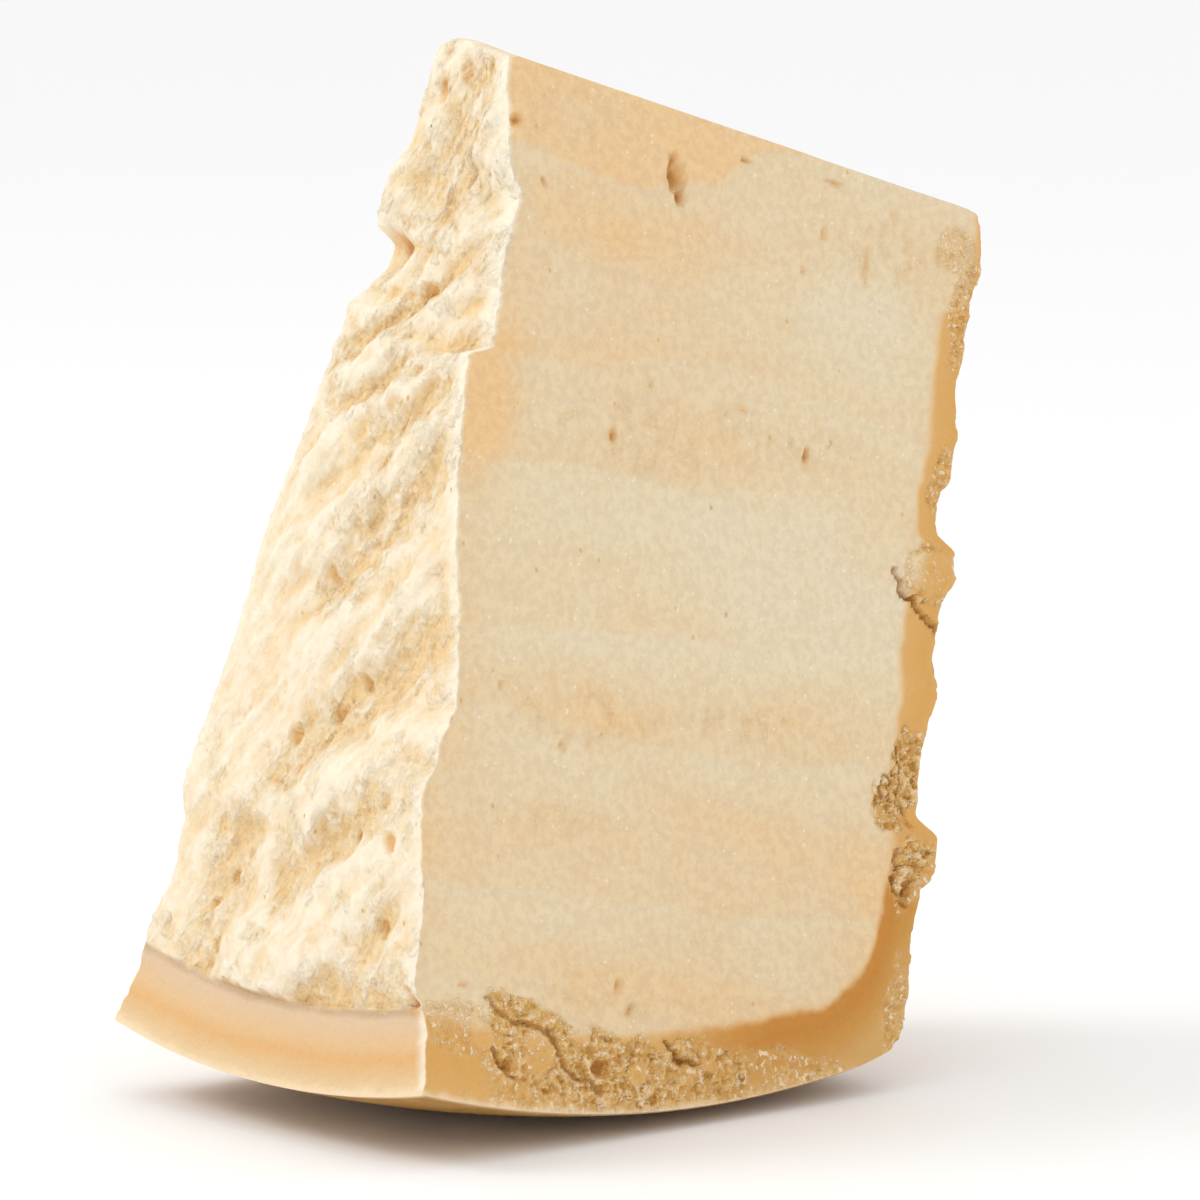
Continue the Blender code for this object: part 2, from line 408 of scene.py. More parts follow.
# %% [markdown]
# Between the strokes the surface is left to noise, of three kinds. Fractal noise gives soft lumps. Grains
# with their own level and tilt give the facets of broken crumbs. Noise cut into terraces gives flakes.
# Each call has its own seed, which shifts the pattern, so every run gives the same wedge.

# %% Noise, facets and flakes
SEED_SHIFT = np.array([1.0, 2.3, -1.7])
HALF = Vector((0.5, 0.5, 0.5))
LEVEL_PICK = 7.3  # spreads the grains' random levels
TILT_PICK = 3.1  # and their tilts
STEP_SLOPE = 0.35  # share of a flake's rise that lies on its gentle slope


def noise_field(x, y, z, size, octaves=3, seed=0.0, softness=1.0):
    """Fractal noise, about -1 to 1, whose lumps have the given size, or a size along each axis."""
    at = np.column_stack([x, y, z]) / size + SEED_SHIFT * seed
    return np.array([noise.fractal(p, softness, 2.1, octaves) for p in at.tolist()])


def flat_noise(u, v, size, octaves=3, seed=0.0, softness=1.0):
    """The same on a flat face. The size is one number, or a width and a height."""
    wide, tall = np.broadcast_to(size, 2)
    return noise_field(u, np.zeros_like(u), v, (wide, 1.0, tall), octaves, seed, softness)


def facets(u, v, size, seed):
    """Broken facets, about -1 to 1: every grain of the given size has its own level and tilt."""
    heights = []
    for at in (np.column_stack([u, np.zeros_like(u), v]) / size + seed).tolist():
        middle = noise.voronoi(at)[1][0]
        level = noise.cell_vector(middle * LEVEL_PICK).x - 0.5
        tilt = noise.cell_vector(middle * TILT_PICK) - HALF
        heights.append(level + (Vector(at) - middle).dot(tilt) * 1.6)
    return np.array(heights)


def terraces(value, count):
    """Flakes: the value climbs in sharp steps, and only slopes gently on each step."""
    level = value * count
    step = np.floor(level)
    edge = (1 - STEP_SLOPE) * rise(level - step, 0.72, 1.0)
    return (step + STEP_SLOPE * (level - step) + edge) / count


# %% [markdown]
# Now the break itself. Depth is measured into the cheese, along the wheel's axis. Broad shapes fade
# out slowly behind the break, so that the cut faces follow its outline, and fine ones fade out fast.
# The dried band above the outer rind is hard, and broke smooth.

# %% Relief of the break
BAND_ON_BREAK = 13.0
STRATA_ANGLE = math.radians(54)  # the way that the lobes and flakes run, from level
CREASE_DEPTH = 0.7  # of the groove between the band and the cheese above it
BROAD_REACH = 30.0  # how far behind the break its broad shapes still show
MIDDLE_REACH = 8.0
FINE_REACH = 3.0


def on_band(z):
    """1 on the dried band above the outer rind, 0 on the cheese over it."""
    return 1 - rise(z, BAND_ON_BREAK - 0.2, BAND_ON_BREAK + 0.5)


def break_relief(across, z, arc_z):
    """Broad, middle and fine depth of the break, and masks: crumbly, pits, and the smooth band."""
    x = across * half_width(z)
    bent_x = x + 1.8 * flat_noise(x, z, size=7.0, seed=1.0)
    bent_z = z + 1.8 * flat_noise(x, z, size=7.0, seed=5.0)
    band = on_band(arc_z + 0.8 * flat_noise(x, z, size=5.0, seed=3.0))
    cheese = 1 - band

    # Broad: from one long edge to the other
    share = np.clip((across + 1) / 2, 0, 1)
    inside = 1 - share ** 6 - (1 - share) ** 6
    edge_z = z + (bent_z - z) * inside
    broad = eased(FAR_EDGE, edge_z) * (1 - share) ** 1.4 + eased(NEAR_EDGE, edge_z) * share ** 1.4

    # Middle: lobes, seams, and flakes that run the same way
    seams = np.max([stroke(bent_x, bent_z, line, 1.35, 0.6) for line in SEAMS], axis=0)
    middle = sum(0.65 * line[5] * stroke(bent_x, bent_z, line, 1.25, 0.6) for line in LOBES)
    middle += sum(0.8 * line[5] * stroke(bent_x, bent_z, line, 1.3, 0.9) for line in SEAMS)
    down = x * math.cos(STRATA_ANGLE) + z * math.sin(STRATA_ANGLE)
    sideways = x * math.sin(STRATA_ANGLE) - z * math.cos(STRATA_ANGLE)
    strata = flat_noise(sideways, down, size=(6.0, 24.0), seed=7.0)
    flakes = terraces(strata + 0.35 * flat_noise(x, z, size=5.0, seed=17.0), 5)
    middle += 1.2 * flakes * (0.6 + 0.4 * rise(z, 60, 90))
    middle *= 0.25 + 0.75 * rise(inside, 0.05, 0.75)

    # Fine: crumbs in the seams and in patches, except on the smooth far side at middle height
    smooth_side = swell(np.abs(z - 76), 40) * rise(-across, 0.2, 0.6)
    clumps = flat_noise(x, z, size=6.0, octaves=4, seed=9.0, softness=0.8)
    patches = rise(clumps, 0.15, 0.40) * (1 - smooth_side)
    crumbly = np.clip(0.8 * seams + 0.7 * patches, 0, 1) * cheese
    crumbs = 0.55 * facets(sideways, down * 0.6, size=2.2, seed=11.0)
    crumbs += 0.30 * facets(x, z, size=1.2, seed=4.0)
    fine = (0.05 + 0.85 * crumbly) * crumbs + 0.13 * flat_noise(x, z, size=2.6, seed=13.0, softness=0.8)
    pits = np.zeros_like(x)
    crooked = 0.9 * flat_noise(x, z, size=1.8, octaves=2, seed=19.0)
    for pit_across, pit_z, wide, deep in BREAK_PITS:
        away = np.hypot(x - crooked - pit_across * half_width(pit_z), (z + crooked - pit_z) * 0.7)
        fine += 0.7 * deep * swell(away, wide * 1.6)
        pits = np.maximum(pits, swell(away, wide * 1.5))
    crease = CREASE_DEPTH * swell(arc_z - BAND_ON_BREAK - 0.7, 1.3) * rise(x, -25, 15)
    dry = 0.10 * flat_noise(x, z, size=(6.0, 2.5), seed=23.0)
    return broad, middle * cheese, (fine + crease) * cheese + dry * band, crumbly, pits, band


base = read_points(mesh)
across, along, radius = measures(base)
height = WHEEL_RADIUS - radius
close = along < BROAD_REACH
relief = np.zeros((6, len(base)))
relief[:, close] = break_relief(across[close], base[close, 2], height[close])
broad, middle, fine, crumbly, pits, on_smooth_band = relief
jagged = 0.35 * flat_noise(across, height, size=1.7, seed=21.0) * swell(1 - np.abs(across), 0.15)
break_shift = broad * swell(along, BROAD_REACH) + middle * swell(along, MIDDLE_REACH)
break_shift += (fine + jagged) * swell(along, FINE_REACH)
print("break depth, mm:", break_shift.min().round(1), "to", break_shift.max().round(1))

# %% [markdown]
# The cut faces are smooth only from afar. The knife stopped and started again, which left faint ledges
# across the face, and it tore the cheese below some of them. Eyes and cracks show here and there.

# %% Marks on the cut faces
# Ledges where the knife stopped: lines along the axis, as (place along the axis, height) pairs.
KNIFE_STOPS = [
    [(0, 147.7), (15, 146.8), (28, 146.4), (41, 149), (53, 157), (99, 172)],
    [(0, 115), (20, 116), (45, 122), (70, 120), (99, 117)],
    [(0, 98), (40, 101), (99, 93)],
    [(0, 72), (48, 78), (99, 85)],
    [(0, 61), (50, 60), (99, 65)],
    [(0, 33), (50, 36), (99, 41)],
]
# Torn patches: place along the axis, height, reach along the axis, reach in height.
TORN = [
    (30, 107, 30, 10), (60, 113, 24, 7), (80, 147, 16, 9), (24, 62, 30, 8), (62, 66, 26, 6),
    (22, 46, 18, 5), (36, 21, 26, 6), (12, 154, 16, 7),
]
# Eyes, pits and tears: place along the axis, height, half width, half height, depth.
HOLES = [
    (34.4, 151.2, 0.8, 1.7, 1.2), (35.2, 149, 1.5, 2.3, 2.6), (36.4, 146.4, 0.9, 1.7, 1.7),
    (1.4, 150.6, 0.9, 1.3, 1.5), (6.3, 142.5, 0.5, 0.8, 0.7), (66.6, 147, 0.7, 1, 0.9),
    (62.8, 139.9, 0.5, 0.6, 0.6), (49, 154.8, 1.4, 0.6, 0.7), (68, 155.4, 1.8, 0.6, 0.7),
    (76, 143, 0.7, 4, 0.5), (81.3, 152, 0.6, 2.6, 0.4), (33.5, 115.6, 0.6, 1.3, 0.5),
    (26.9, 106.2, 0.8, 1.3, 0.9), (52.7, 115.5, 1.2, 0.6, 0.5), (66.5, 111, 0.6, 2.4, 0.9),
    (9, 64, 0.5, 0.6, 0.6), (22, 57, 0.6, 1, 0.6), (37, 22, 0.6, 1.6, 0.8), (39.2, 19, 0.5, 1.2, 0.8),
    (34.8, 9.3, 2.2, 1.5, 2), (16.9, 7.3, 1.6, 1.2, 1.6), (9.2, 18, 0.9, 0.8, 0.6),
    (89.6, 61.8, 1, 0.8, 0.7), (95.5, 46, 1.2, 2, 1.3), (94, 56.5, 1, 0.8, 0.8), (51, 12.6, 1.8, 1, 1.3),
]
LEDGE_HEIGHT = 0.12
LEDGE_WIDTH = 0.6
print(len(KNIFE_STOPS), "ledges,", len(TORN), "torn patches and", len(HOLES), "holes")


def bent_height(y, z, seed):
    """Height along a cut, bent so that no ledge is straight."""
    return z + 0.9 * flat_noise(y, z, size=9.0, seed=seed)


def cut_relief(y, z, seed):
    """How far a cut face stands out of its plane, and how torn it is."""
    line_z = bent_height(y, z, seed)
    out = 0.12 * flat_noise(y, z, size=(30.0, 9.0), seed=seed + 1)
    for stop in KNIFE_STOPS:
        out += LEDGE_HEIGHT * np.tanh((line_z - eased(stop, y)) / LEDGE_WIDTH)
    torn = np.max([patch(y, z, *spot) for spot in TORN], axis=0)
    scattered = rise(flat_noise(y, z, size=(2.6, 4.0), seed=seed + 2), -0.15, 0.35)
    torn = np.clip(torn * 1.5, 0, 1) * scattered
    tears = facets(y, z * 0.6, size=1.2, seed=seed + 3)
    out -= torn * (0.10 + 0.26 * tears)
    out += 0.05 * flat_noise(y, z, size=1.6, seed=seed + 4, softness=0.6)
    return out, torn


# %% [markdown]
# Near the rind the cheese is dry and crumbles under the knife: crumbs, chunks and cracks along the
# outer rind and half way up the flat one, with painted shade in the cracks. A chunk keeps its smooth face,
# and a crack runs under it.

# %% Crumbly places on the near cut
# Chunks: place along the axis, height, reach along the axis, reach in height, how far they stand out.
CHUNKS = [
    (22.3, 9.6, 3.4, 4.0, 0.25), (11.5, 10.9, 2.6, 2.4, 0.3), (98.5, 48, 2.4, 5.5, 0.4),
    (94, 97, 5, 4.6, 0.7), (30, 13.5, 2.4, 1.8, 0.4), (56.3, 12.4, 2.2, 1.6, 0.4), (42, 9, 2.4, 2, 0.3),
]
# Cracks: the points that they run through, half width and depth.
CRACKS = [
    ([(14.1, 16.2), (17, 13.6), (21.5, 14.2), (25.4, 12), (27.4, 8.2), (31, 6.9), (35.2, 5.9)], 0.7, 0.4),
    ([(86.6, 96.4), (88, 95), (88.6, 93), (91, 92.6), (92.4, 91.2), (96.5, 88.9), (99, 88)], 0.5, 1.2),
    ([(13.5, 9), (16, 6.2), (18.6, 5.2)], 0.6, 0.7),
    ([(86.8, 59), (88.4, 63.6), (90.8, 63), (90.4, 60)], 0.5, 0.5),
    ([(91.5, 68), (93.4, 64), (93, 61), (95, 58)], 0.5, 0.5),
    ([(91.6, 52), (91.2, 48), (93, 45), (96, 43.6)], 0.6, 0.6),
    ([(47, 15), (50.5, 12.5), (54, 13)], 0.5, 0.7),
]
print(len(CRUMBS), "crumbly places,", len(CHUNKS), "chunks and", len(CRACKS), "cracks")


def path_distance(y, z, path):
    """Distance to a line that runs straight from point to point."""
    nearest = np.full(len(y), np.inf)
    at = np.column_stack([y, z])
    for start, end in zip(path, path[1:]):
        run = np.array(end) - start
        share = np.clip((at - start) @ run / (run @ run), 0, 1)
        nearest = np.minimum(nearest, np.hypot(*(at - start - share[:, None] * run).T))
    return nearest


def crumb_relief(y, z, seed):
    """Depth of the crumbly places, how crumbly they are, and how far down in a crack."""
    ragged = 0.30 * flat_noise(y, z, size=3.5, seed=seed)
    strength = np.zeros_like(y)
    for *spot, share in CRUMBS:
        within = patch(y, z, *spot)
        strength = np.maximum(strength, share * rise(within + ragged * (within > 0), 0.12, 0.40))
    whole = np.zeros_like(y)
    raised = np.zeros_like(y)
    bent_y = y + 0.7 * flat_noise(y, z, size=2.6, octaves=2, seed=seed + 5)
    bent_z = z + 0.7 * flat_noise(y, z, size=2.6, octaves=2, seed=seed + 6)
    for center_y, center_z, reach_y, reach_z, height_out in CHUNKS:
        inside = np.hypot((bent_y - center_y) / reach_y, (bent_z - center_z) / reach_z)
        chunk = 1 - rise(inside, 0.72, 1.05)
        whole = np.maximum(whole, chunk)
        raised = np.maximum(raised, height_out * chunk)
    coarse = facets(y, z, size=2.4, seed=seed)
    bits = facets(y, z, size=1.0, seed=seed + 3)
    depth = strength * (1 - whole) * (0.15 + 0.50 * coarse + 0.40 * bits) - raised
    cracks = np.zeros_like(y)
    crooked = 0.8 * flat_noise(y, z, size=1.6, octaves=2, seed=seed + 9)
    for path, reach, deep in CRACKS:
        crack = swell(path_distance(bent_y + crooked, bent_z - crooked, path), reach)
        depth += deep * crack
        cracks = np.maximum(cracks, crack)
    return depth, strength * (1 - 0.7 * whole), cracks


# %% [markdown]
# The flat rind took some knocks along its near edge: chips are missing, and crumbs stand proud of it.
# They are one line of places along the edge, which fades out over the rind and over the cut face.

# %% Relief of the rind and the cuts together
# The near edge of the flat rind: height, and how far it stands proud.
RIND_EDGE = [
    (22, -1.6), (27, -2.3), (31, -1.9), (37, -2.3), (46, -1), (50, 1.8), (55, 2.2), (58.5, -2.9),
    (66, -3.2), (72, -1.9), (79, -0.2), (84, -1.9), (91, -0.9), (98, 1.5), (101, 1.3), (104.5, -2.8),
    (109, -3.2), (114, -0.8), (120, 0.2), (127, -1.1), (134, 0.3), (143, 1.3), (148, 2.7), (154, 2.3),
    (159, 1),
]
CHIP_REACH = 12.0
ON_CUT = 0.9999  # a point further across than this lies on a cut face
NEAR_SEED = 41.0
FAR_SEED = 67.0
CRUMB_SEED = 51.0

from_near = (1 - across) * half_angle * radius
from_flat = HALF_HEIGHT - along
across_x = base[:, 0]
proud = eased(RIND_EDGE, height + 0.8 * flat_noise(across_x, height, size=3.0, octaves=2, seed=33.0))
proud = proud * swell(from_near, CHIP_REACH) * swell(from_flat, CHIP_REACH)
proud -= 0.25 * flat_noise(across_x, height, size=9.0, seed=31.0) * swell(from_flat, 6)
chipped = facets(across_x, height, size=2.2, seed=35.0)
proud += 0.40 * chipped * swell(from_near, 5) * swell(from_flat, 3)

is_near = across > ON_CUT
is_far = across < -ON_CUT
cut_faces = ((is_near, NEAR_SEED), (is_far, FAR_SEED))
cut_out = np.zeros(len(base))
torn, crumbs, cracks, bowls = np.zeros((4, len(base)))
for side, seed in cut_faces:
    cut_out[side], torn[side] = cut_relief(along[side], height[side], seed)
depth, crumbs[is_near], cracks[is_near] = crumb_relief(along[is_near], height[is_near], CRUMB_SEED)
cut_out[is_near] -= depth
bent = 0.5 * noise_field(across_x, along, height, size=2.0, octaves=2, seed=71.0)
for hole_y, hole_z, wide, tall, deep in HOLES:
    bowl = swell(np.hypot((along - hole_y + bent) / wide, (height - hole_z - bent) / tall), 1.4) * is_near
    cut_out -= deep * bowl
    bowls = np.maximum(bowls, bowl * min(1.0, deep))
outer_depth = rind_radius(along) - radius
cut_out *= rise(along, 0, 1.2) * rise(np.minimum(outer_depth, from_flat), -0.5, 1.0)
print("cut relief, mm:", np.percentile(cut_out[is_near], [0, 5, 50, 95, 100]).round(2))

# %% [markdown]
# A knife leaves the edges of the tip a little dull, and its corners wear round while the wedge is
# handled. Where two sides meet, both are drawn in so that the edge follows a quarter of a circle. The
# tip also swells a little over the break, where it snapped off instead of being cut.

# %% Soften the edges
BREAK_TIP_WEAR = 1.8  # how far each kind of edge is worn
FLAT_TIP_WEAR = 2.6
CUT_WEAR = 0.9
OUTER_WEAR = 0.8
CROWN_HEIGHT = 1.9  # how far the tip swells over the break


def soften(first, second, reach):
    """How far two sides draw in, from the distance of each point to both."""
    a = np.clip(1 - first / reach, 0, 1)
    b = np.clip(1 - second / reach, 0, 1)
    pull = reach * (1 - 1 / np.maximum(1, np.hypot(a, b)))
    return a * pull, b * pull


from_tip = radius - (WHEEL_RADIUS - tip_height(along)) / np.cos(across * half_angle)
from_cut = (1 - np.abs(across)) * half_angle * radius
in_break, down_break = soften(along, from_tip, BREAK_TIP_WEAR)
in_flat, down_flat = soften(from_flat, from_tip, FLAT_TIP_WEAR)
in_cut, down_cut = soften(from_cut, from_tip, CUT_WEAR)
side_flat, in_side = soften(from_cut, from_flat, CUT_WEAR)
side_outer, up_outer = soften(from_cut, outer_depth, OUTER_WEAR)
crown = CROWN_HEIGHT * swell(np.abs(across + 0.5), 1.5) * swell(along, 24) * swell(from_tip, 14)
radius_shift = down_break + down_flat + down_cut - up_outer - crown
along_shift = in_break - in_flat - in_side
cut_out -= in_cut + side_flat + side_outer
print("worn edges draw in by up to", in_flat.max().round(1), "mm")

# %% [markdown]
# All the shifts are known now. The ones along the axis and along the radius are added to the measures,
# and the ones out of a cut face go straight out of it. Then the wedge is tipped back onto the table, and
# what would sink into the table is pressed flat, as a soft rind is under the wedge's own weight.

# %% Move the points, and stand the wedge on the table
turn = across * half_angle
outward = np.column_stack([np.cos(turn), np.zeros_like(turn), np.sin(turn)]) * np.sign(across)[:, None]
shaped = place(across, along + break_shift + proud + along_shift, radius + radius_shift)
shaped += outward * cut_out[:, None]
on_table = shaped @ np.array(lean_turn).T * MM + np.array(table_shift)
on_table[:, 2] = np.maximum(on_table[:, 2], 0)
write_points(mesh, on_table)
print("wedge, mm:", (1000 * (on_table.max(0) - on_table.min(0))).round(1))

# %% [markdown]
# The colours need to know where they are: how deep below the rind, on the break or on a cut, in a
# hollow or on a ridge. These facts are stored on the points of the mesh, for the material to read.

# %% The dried band, and the tone of the cut faces
OUTER_BAND = 12.5  # depth of the dried band above the outer rind
# Its depth beside the flat rind, as (height, depth) pairs
FLAT_BAND = [(20, 9), (90, 8.5), (104, 7), (139, 6.6), (142, 2.6), (162, 1.5)]
BAND_CORNER = 11.5  # rounding of the band's inner side, where its two parts meet
PLAIN_TONE = 0.4
# Patches that are warmer (above 0) or paler than the rest of a cut: place along the axis, height, reach
# along the axis, reach in height, strength.
TONES = [
    (3, 106, 12, 18, 0.9), (2, 40, 12, 50, 0.12), (26, 139, 32, 10, 0.45), (20, 116, 16, 8, 0.2),
    (1, 80, 6, 80, 0.2), (66, 90, 40, 22, -0.45), (78, 132, 22, 24, -0.35),
    (16, 131, 30, 15, 0.12), (34, 109, 34, 8, 0.22), (22, 88, 26, 12, -0.12), (30, 64, 34, 8, 0.18),
    (66, 48, 40, 20, 0.25), (45, 22, 50, 9, 0.35), (88, 40, 14, 26, 0.3), (96, 70, 10, 70, 0.2),
]


def band_depth(y, radius):
    """Depth into the dried band: 0 at the outer rind, 1 at its inner side, more in the paste."""
    outer = BAND_CORNER - (rind_radius(y) - radius - OUTER_BAND)
    flat = BAND_CORNER - (HALF_HEIGHT - y - eased(FLAT_BAND, WHEEL_RADIUS - radius))
    turned = np.hypot(np.maximum(outer, 0), np.maximum(flat, 0))
    inside = np.where((outer > 0) & (flat > 0), BAND_CORNER - turned, BAND_CORNER - np.maximum(outer, flat))
    return 1 + inside / OUTER_BAND


def cut_tone(y, z, seed):
    """How warm the cheese is on a cut, from 0 to 1. It is palest just below each ledge."""
    warm = 0.42 + 0.22 * flat_noise(y, z, size=(26.0, 12.0), seed=seed)
    for *spot, strength in TONES:
        warm += strength * patch(y, z, *spot)
    line_z = bent_height(y, z, seed)
    for stop in KNIFE_STOPS:
        paler_below, warmer_above = (0.12, 0.40) if stop is KNIFE_STOPS[0] else (0.22, 0.0)
        above = line_z - eased(stop, y)
        step = rise(above, -0.5, 0.5)
        warm += paler_below * (step - 1) * np.exp(np.minimum(above, 0) / 9)
        warm += warmer_above * step
    return np.clip(warm, 0, 1)


tone = np.full(len(base), PLAIN_TONE)
for side, seed in cut_faces:
    tone[side] = cut_tone(along[side], height[side], seed)
soft_clouds = flat_noise(across_x[close], height[close], size=5.0, octaves=4, seed=81.0)
break_tone = 0.30 + 0.12 * middle[close] + 0.35 * crumbly[close] + 0.3 * soft_clouds
tone[close] = np.where(np.abs(across[close]) < ON_CUT, break_tone, tone[close])
print("tone:", np.percentile(tone[is_near], [5, 50, 95]).round(2))

# %% [markdown]
# A hollow is where the surface lies below the average of what surrounds it, and a ridge is above it. So
# the points are averaged with their neighbours several times, and compared with where they were. The
# other facts are masks from 0 to 1, apart from the tone and the depth in the dried band.

# %% Store where each point is
HOLLOW_ROUNDS = 14
OFF_FACE = 0.01  # a point further than this from the break, or from the tip, isn't on that face


def neighbour_average(points, edges, rounds):
    """The points after each has moved several times to the average of its neighbours."""
    count = np.bincount(edges.ravel(), minlength=len(points))[:, None]
    for _ in range(rounds):
        total = np.zeros_like(points)
        for axis in range(3):
            total[:, axis] += np.bincount(edges[:, 0], points[edges[:, 1], axis], len(points))
            total[:, axis] += np.bincount(edges[:, 1], points[edges[:, 0], axis], len(points))
        points = total / count
    return points


def point_normals(mesh):
    normals = np.empty(3 * len(mesh.vertices))
    mesh.vertices.foreach_get("normal", normals)
    return normals.reshape(-1, 3)


def store(mesh, name, values):
    layer = mesh.attributes.new(name, "FLOAT", "POINT")
    layer.data.foreach_set("value", np.ascontiguousarray(values, dtype=np.float32))


edges = np.empty(2 * len(mesh.edges), dtype=np.int32)
mesh.edges.foreach_get("vertices", edges)
smooth_points = neighbour_average(on_table, edges.reshape(-1, 2), HOLLOW_ROUNDS)
# the hollow depth drives painted shade in the hollows and a painted highlight on the ridges
hollow = np.einsum("ij,ij->i", smooth_points - on_table, point_normals(mesh)) / MM
on_break = swell(along, 0.6)
is_skin = (np.abs(across) < ON_CUT) & (along > OFF_FACE) & (from_tip > OFF_FACE)

# The crest is the strip of the break beside the near cut, painted pale as a painted highlight along that
# edge
on_dry = height < BAND_ON_BREAK
ragged_near = from_near + 0.9 * flat_noise(across_x, height, size=3.0, octaves=2, seed=37.0)
crest = swell(np.maximum(ragged_near, 0) / np.where(on_dry, 2.4, 4.5), 1.0)
crest = crest * on_break * (0.5 + 0.5 * rise(height, 60, 100) + 0.4 * on_dry)

# The rim is a pale line just above the outer rind, a painted highlight on that edge, and the band is darker
# low down by the flat rind, which is painted shade
ragged_rim = outer_depth + 0.6 * noise_field(across_x, along, height, size=2.5, seed=39.0)
rim = 0.9 * swell(np.maximum(ragged_rim, 0), 1.6) * rise(from_flat, 20, 50) * (outer_depth < 3)
# painted shade: the band is made darker low down towards the flat rind
low_flat = rise(50 - height, -4, 4) * rise(along, 78, 84)
darker = np.maximum(low_flat, rise(along, 40, 70) * rise(60 - height, 0, 20))

# Pits, eyes and one patch of the bottom are amber, and cracks and the middles of the deepest holes are
# painted dark as painted shade
amber = np.maximum(0.8 * pits * on_break, bowls)
amber = np.maximum(amber, 0.45 * patch(along, height, 7, 4.5, 13, 4.5) * is_near)
dark = np.maximum(0.9 * cracks, np.maximum(bowls - 0.6, 0) * 2)

facts = {
    "hollow": hollow, "tone": tone, "band": band_depth(along, radius),
    "broken": on_break, "skin": is_skin, "smooth_band": on_smooth_band * on_break,
    "crumb": np.maximum(crumbs, 0.16 * torn), "grain": crumbly * on_break, "crest": crest,
    "rim": rim, "darker": darker, "amber": amber, "dark": dark,
}
for name, values in facts.items():
    store(mesh, name, values)
print("hollows, mm:", np.percentile(hollow, [1, 50, 99]).round(2))

# %% [markdown]
# A material is a tree of nodes. These helpers add a node and link or fill its inputs in one line, so
# that the recipes below read like sums: a stored fact, a colour ramp, a blend of two colours, a noise.

# %% Material helpers
def add_node(tree, kind, inputs=None, **settings):
    """A new node. An input that is another node's output is linked, and a plain value is set."""
    node = tree.nodes.new(kind)
    for name, value in settings.items():
        setattr(node, name, value)
    for name, value in (inputs or {}).items():
        if isinstance(value, bpy.types.NodeSocket):
            tree.links.new(value, node.inputs[name])
        else:
            node.inputs[name].default_value = value
    return node


def attribute(tree, name):
    """A fact stored on the mesh."""
    return add_node(tree, "ShaderNodeAttribute", attribute_name=name).outputs["Fac"]


def calculate(tree, operation, a, b=0.0):
    return add_node(tree, "ShaderNodeMath", {0: a, 1: b}, operation=operation).outputs[0]


def plus(tree, a, b):
    return calculate(tree, "ADD", a, b)


def times(tree, a, b):
    return calculate(tree, "MULTIPLY", a, b)


def from_to(tree, value, low, high, out_low=0.0, out_high=1.0):
    """The value turned from one range into another, with soft ends."""
    inputs = {"Value": value, "From Min": low, "From Max": high, "To Min": out_low, "To Max": out_high}
    return add_node(tree, "ShaderNodeMapRange", inputs, interpolation_type="SMOOTHSTEP").outputs[0]


def ramp(tree, value, stops):
    """Colours along a value from 0 to 1, from (place, colour) pairs."""
    node = add_node(tree, "ShaderNodeValToRGB", {"Fac": value})
    points = node.color_ramp.elements
    while len(points) < len(stops):
        points.new(0.5)
    for point, (place_on_ramp, color) in zip(points, stops):
        point.position = place_on_ramp
        point.color = (*color, 1.0)
    return node.outputs["Color"]


def blend(tree, share, below, above, kind="MIX"):
    """One colour laid over another by a share from 0 to 1."""
    node = add_node(tree, "ShaderNodeMix", {"Factor": share}, data_type="RGBA", blend_type=kind)
    color_inputs = [socket for socket in node.inputs if socket.type == "RGBA"]
    for socket, value in zip(color_inputs, (below, above)):
        if isinstance(value, bpy.types.NodeSocket):
            tree.links.new(value, socket)
        else:
            socket.default_value = (*value, 1.0)
    return next(socket for socket in node.outputs if socket.type == "RGBA")


def noise_node(tree, here, scale, detail, roughness, stretch=None):
    """Noise with a scale in lumps per metre, squeezed along each axis by stretch."""
    if stretch:
        here = add_node(tree, "ShaderNodeMapping", {"Vector": here, "Scale": stretch}).outputs[0]
    inputs = {"Vector": here, "Scale": scale, "Detail": detail, "Roughness": roughness}
    return add_node(tree, "ShaderNodeTexNoise", inputs).outputs["Fac"]


# %% [markdown]
# The colours run from cream, where the cheese is moist and freshly broken, over straw on the cuts, which
# have begun to dry, to amber and brown in the dried band and on the rind. Each ramp below follows one
# value from 0 to 1: how warm a cut is, how deep a hollow is, or how far into the band a point lies. The
# depth of a hollow paints shade into the hollows and a highlight onto the ridges, and the rind's brown is
# darkened as painted shade.

# %% The cheese's colours
CUT_COLORS = [(0.0, (0.715, 0.595, 0.405)), (0.45, (0.715, 0.540, 0.325)), (1.0, (0.770, 0.485, 0.230))]
# The broken paste, from ridge to hollow: partly its own tone, partly painted highlight and painted shade
BREAK_AND_SHADE_COLORS = [
    (0.0, (0.840, 0.735, 0.560)), (0.35, (0.800, 0.655, 0.455)), (0.6, (0.780, 0.600, 0.370)),
    (1.0, (0.780, 0.540, 0.270)),
]
# painted highlight along the crest beside the near cut
CREST_HIGHLIGHT_COLOR = (0.860, 0.770, 0.600)
CRYSTAL_COLOR = (0.860, 0.790, 0.660)
SPECK_COLOR = (0.640, 0.390, 0.140)
GRAIN_TINT = (1.0, 0.96, 0.86)
AMBER_COLOR = (0.680, 0.350, 0.085)
# painted shade for the cracks and the deepest holes
CRACK_SHADE_COLOR = (0.400, 0.170, 0.018)
# Crumbs, from their rims, with a painted highlight, to the gaps between them, with painted shade, and the
# loose bits on them; the dark gap colour is painted shade
CRUMB_AND_SHADE_COLORS = [(0.0, (0.880, 0.690, 0.440)), (0.4, (0.740, 0.460, 0.160)), (1.0, (0.500, 0.240, 0.025))]
FLECK_COLOR = (0.880, 0.660, 0.400)
GAP_SHADE_COLOR = (0.520, 0.260, 0.040)
